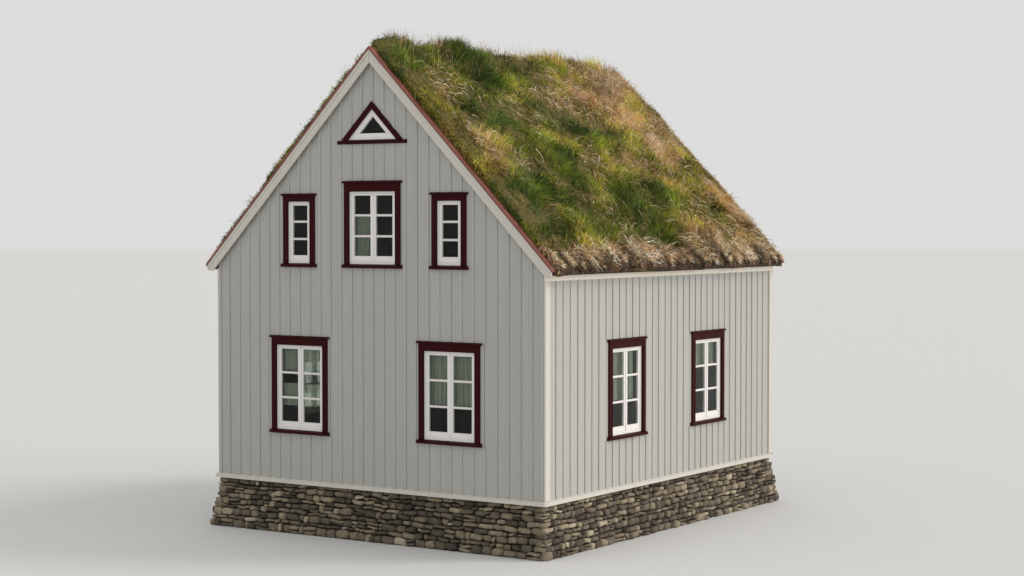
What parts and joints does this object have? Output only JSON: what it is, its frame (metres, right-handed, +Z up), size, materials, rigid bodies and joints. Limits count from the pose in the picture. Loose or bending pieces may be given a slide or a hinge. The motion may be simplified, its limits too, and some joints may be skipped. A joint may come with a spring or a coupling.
{
  "type": "detached timber house",
  "caption": "Small gabled timber house with board cladding, casement windows, a turf roof with painted barge boards, and a dry stone foundation.",
  "frame": {"origin": "on the ground, in the middle of the house's footprint", "axes": "+X across the house to its right side, +Y along the ridge to the rear gable, +Z up; the gable with six windows faces -Y"},
  "size_m": [6.047, 6.92, 6.9849],
  "materials": {
    "grey_cladding": "pale grey matt paint on vertical boards",
    "white_trim": "white satin paint",
    "dark_red_casing": "dark red satin paint",
    "red_verge": "faded red paint",
    "rubble": "rough dry-laid field stone",
    "floor_boards": "planed boards",
    "roof_boards": "rough boards",
    "turf": "living grass on sods",
    "window_glass": "clear"
  },
  "bodies": {
    "root": {"stone_foundation": "rubble", "ground_floor": "floor_boards", "loft_floor": "floor_boards", "front_wall": "grey_cladding", "rear_wall": "grey_cladding", "left_wall": "grey_cladding", "right_wall": "grey_cladding", "base_board": "white_trim", "left_side_boards": "white_trim", "right_side_boards": "white_trim", "roof_deck_left": "roof_boards", "roof_deck_right": "roof_boards", "turf_left": "turf", "turf_right": "turf", "front_barge_boards": "white_trim", "rear_barge_boards": "white_trim", "front_verge_cap": "red_verge", "rear_verge_cap": "red_verge", "front_ground_left_casing": "dark_red_casing", "front_ground_left_frame": "white_trim", "front_ground_right_casing": "dark_red_casing", "front_ground_right_frame": "white_trim", "front_loft_left_casing": "dark_red_casing", "front_loft_left_frame": "white_trim", "front_loft_centre_casing": "dark_red_casing", "front_loft_centre_frame": "white_trim", "front_loft_right_casing": "dark_red_casing", "front_loft_right_frame": "white_trim", "front_attic_casing": "dark_red_casing", "front_attic_frame": "white_trim", "rear_ground_casing": "dark_red_casing", "rear_ground_frame": "white_trim", "rear_loft_left_casing": "dark_red_casing", "rear_loft_left_frame": "white_trim", "rear_loft_centre_casing": "dark_red_casing", "rear_loft_centre_frame": "white_trim", "rear_loft_right_casing": "dark_red_casing", "rear_loft_right_frame": "white_trim", "rear_attic_casing": "dark_red_casing", "rear_attic_frame": "white_trim", "rear_door_casing": "dark_red_casing", "rear_door": "dark_red_casing", "left_rear_casing": "dark_red_casing", "left_rear_frame": "white_trim", "left_front_casing": "dark_red_casing", "left_front_frame": "white_trim", "right_front_casing": "dark_red_casing", "right_front_frame": "white_trim", "right_rear_casing": "dark_red_casing", "right_rear_frame": "white_trim", "front_ground_glass": "window_glass", "front_loft_glass": "window_glass", "rear_ground_glass": "window_glass", "rear_loft_glass": "window_glass", "left_glass": "window_glass", "right_glass": "window_glass"}
  },
  "joints": []
}
